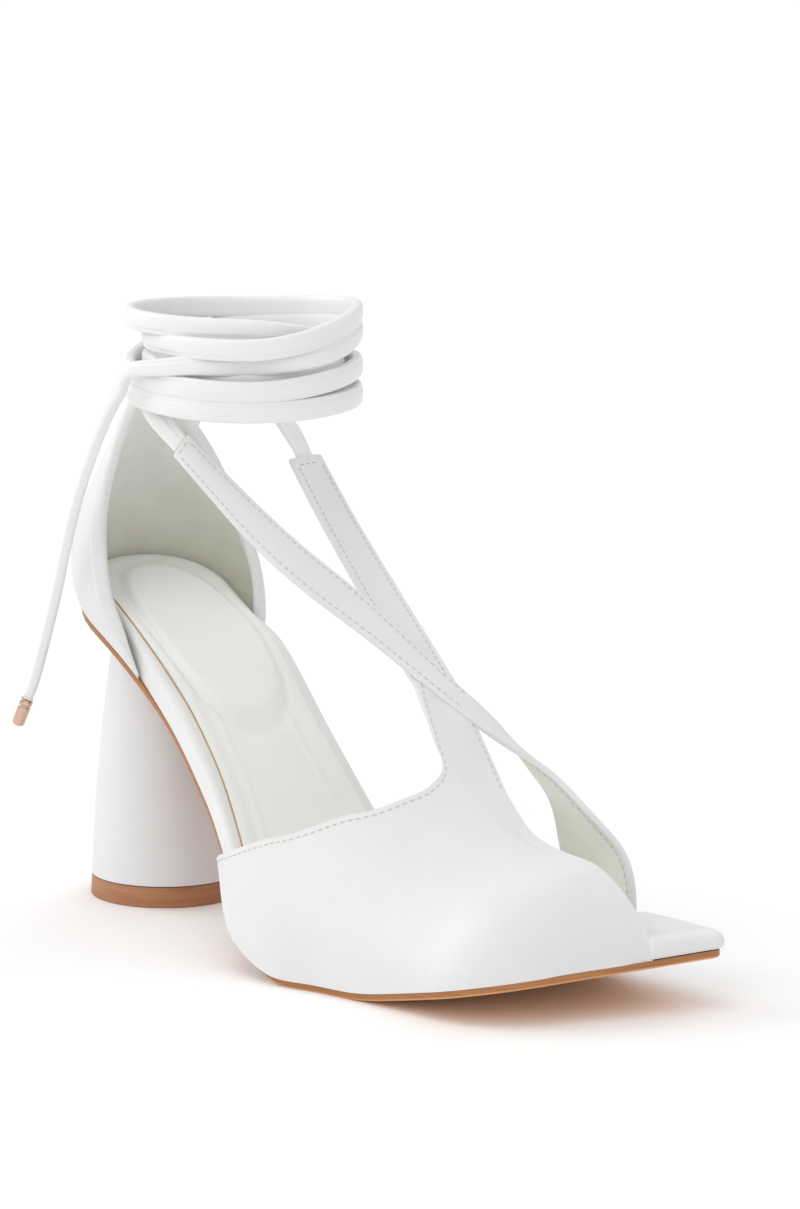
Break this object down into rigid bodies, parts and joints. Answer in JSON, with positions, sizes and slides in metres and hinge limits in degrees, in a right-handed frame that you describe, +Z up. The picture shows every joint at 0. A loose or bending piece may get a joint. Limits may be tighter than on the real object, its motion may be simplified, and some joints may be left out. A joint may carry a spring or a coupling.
{
  "type": "open-toe pump",
  "caption": "Women's open-toe pump with a tall round block heel, a thin platform, an asymmetric vamp, straps that cross on the instep, a closed heel counter and rolled leather ankle ties.",
  "frame": {"origin": "centre of the heel top piece's flat underside, on the floor", "axes": "+X along the foot towards the toe, +Y towards the inner (medial) side, +Z up"},
  "size_m": [0.2493, 0.0909, 0.1916],
  "materials": {
    "sole_edge": "smooth tan leather sole with a waxed edge",
    "footbed_cover": "smooth off-white lining leather over a padded insole and platform",
    "heel_cover": "smooth white leather wrapped over the block",
    "top_piece": "brown layered lift with a satin edge",
    "upper_leather": "smooth semi-gloss white leather with tonal stitching",
    "counter_leather": "smooth white leather with a folded edge, cream suede lining inside",
    "tie_leather": "rolled white leather cord",
    "aglet_metal": "polished rose-gold metal tip"
  },
  "bodies": {
    "root": {"outsole": "sole_edge", "footbed": "footbed_cover", "heel": "heel_cover", "heel_top_piece": "top_piece", "upper": "upper_leather", "heel_counter": "counter_leather", "tie_medial": "tie_leather", "tie_lateral": "tie_leather", "aglet_medial": "aglet_metal", "aglet_lateral": "aglet_metal"}
  },
  "joints": []
}
